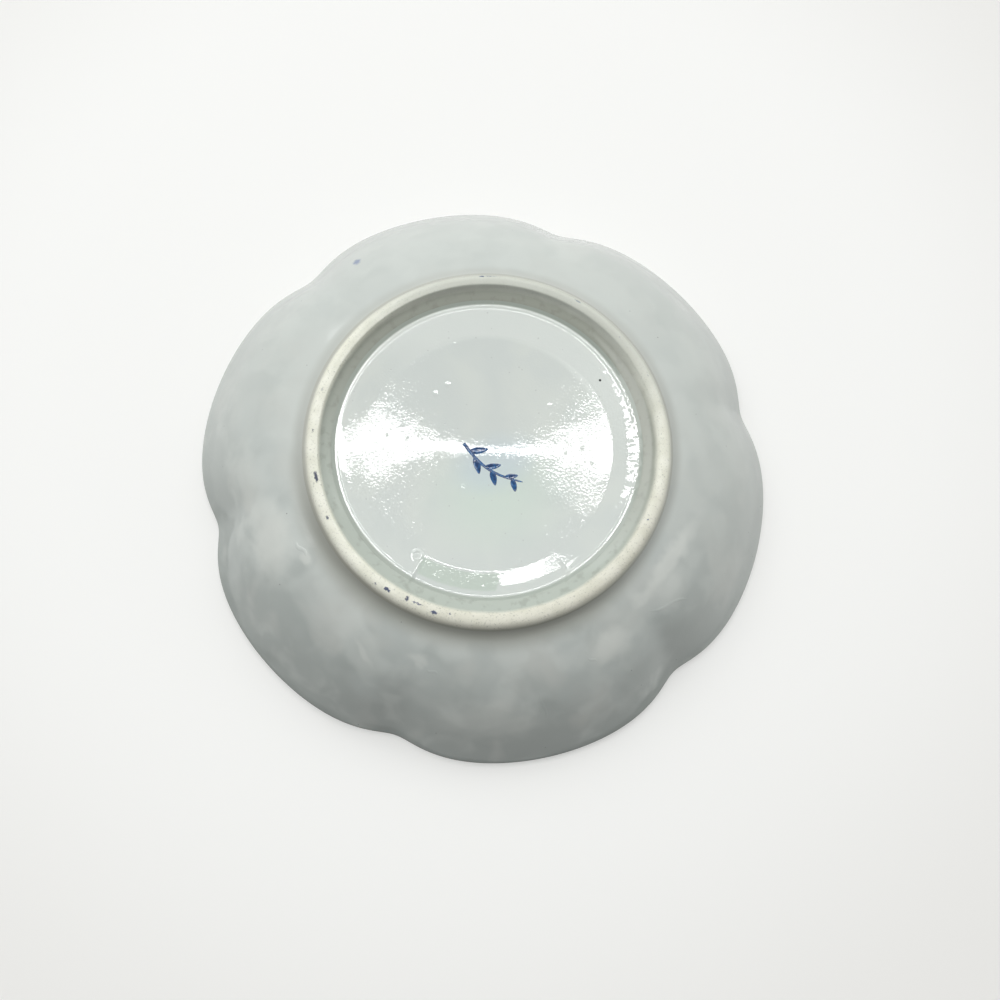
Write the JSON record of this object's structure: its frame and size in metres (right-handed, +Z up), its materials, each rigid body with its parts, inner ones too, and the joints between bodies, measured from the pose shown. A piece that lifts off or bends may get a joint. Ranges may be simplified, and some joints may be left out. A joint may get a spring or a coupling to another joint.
{
  "type": "trinket dish",
  "caption": "Small lobed porcelain dish with a shallow well for rings and trinkets, standing on a bare-edged foot ring.",
  "frame": {"origin": "middle of the foot ring's standing edge, on the surface that the dish stands on", "axes": "+Z up out of the well, +X through the crest of one lobe"},
  "size_m": [0.114, 0.111, 0.024],
  "materials": {
    "bare_porcelain": "unglazed, wiped edge",
    "clear_glaze": "glossy, cool off-white"
  },
  "bodies": {
    "root": {"dish_body": "bare_porcelain", "foot_ring": "bare_porcelain", "outer_glaze": "clear_glaze", "base_glaze": "clear_glaze"}
  },
  "joints": []
}
